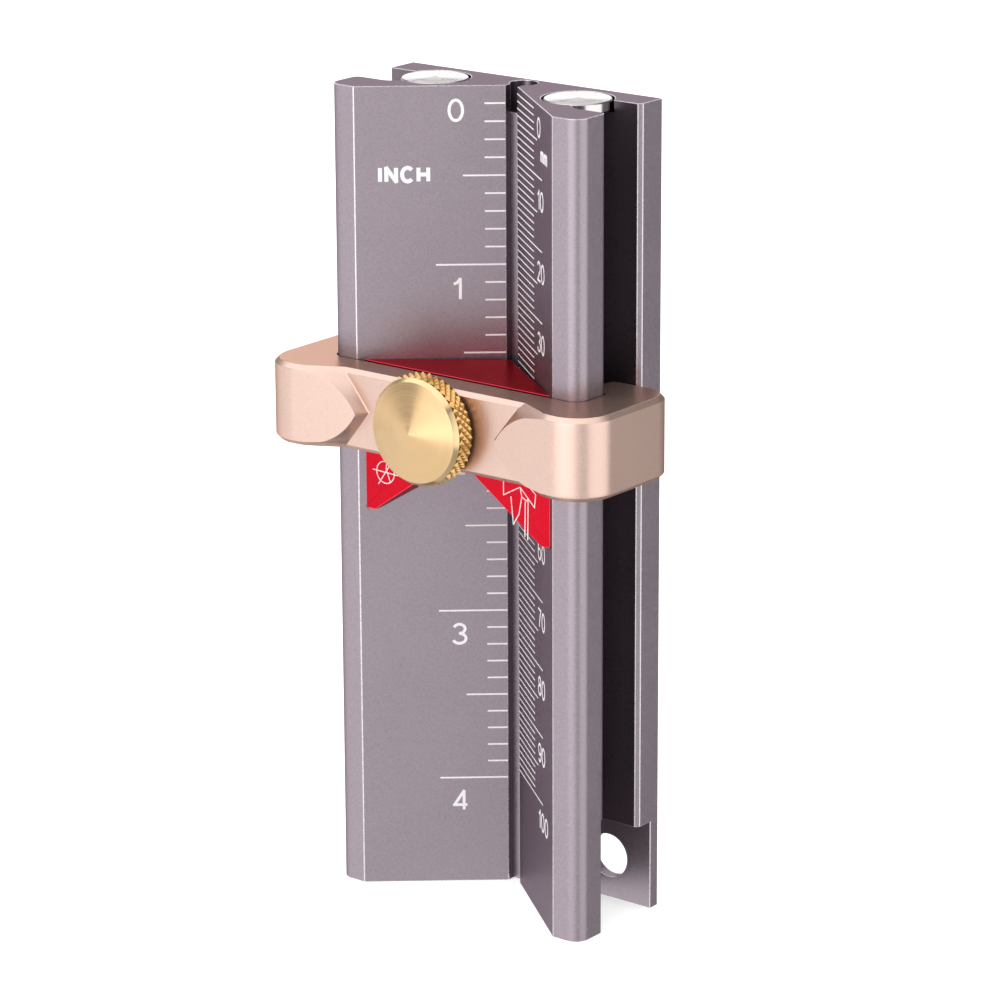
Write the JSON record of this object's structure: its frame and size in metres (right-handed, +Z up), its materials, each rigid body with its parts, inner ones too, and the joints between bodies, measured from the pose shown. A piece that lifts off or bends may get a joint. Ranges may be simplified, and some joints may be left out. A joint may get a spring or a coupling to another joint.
{
  "type": "drill depth and angle gauge",
  "caption": "Upright drill gauge: a scaled trough bar, a clamping collar that slides along it, and a notched wedge that checks the drill point.",
  "frame": {"origin": "middle of the bounding box's bottom face, at the lower end of the bar", "axes": "+Z up the bar to the zero end, +Y out of the flat back, -Y out of the open trough and the thumbscrew, +X across the width"},
  "size_m": [0.0578, 0.0288, 0.1176],
  "materials": {
    "grey_anodised": "bead blasted and anodised grey",
    "nickel_plate": "bright nickel plate",
    "champagne_anodised": "satin champagne anodised",
    "red_anodised": "satin red anodised",
    "pin_steel": "ground",
    "turned_brass": "turned, with a diamond knurl"
  },
  "bodies": {
    "bar": {"gauge_body": "grey_anodised", "end_magnet_left": "nickel_plate", "end_magnet_right": "nickel_plate"},
    "collar": {"slider_collar": "champagne_anodised"},
    "wedge": {"point_gauge_wedge": "red_anodised", "wedge_retaining_pin": "pin_steel"},
    "screw": {"thumbscrew": "turned_brass"}
  },
  "joints": [
    {"name": "depth_slide", "type": "slide", "parent": "bar", "child": "collar", "axis": [0, 0, 1], "range_m": [-0.0565, 0.03887]},
    {"name": "wedge_press", "type": "slide", "parent": "collar", "child": "wedge", "axis": [0, -1, 0], "range_m": [0, 0.0008]},
    {"name": "knob_turn", "type": "hinge", "parent": "wedge", "child": "screw", "pos_m": [0, -0.00436, 0.07288], "axis": [0, -1, 0], "range_deg": [0, 360]}
  ],
  "couplings": [
    {"joint": "wedge_press", "follows": "knob_turn", "m_per_rad": 0.00012732}
  ]
}
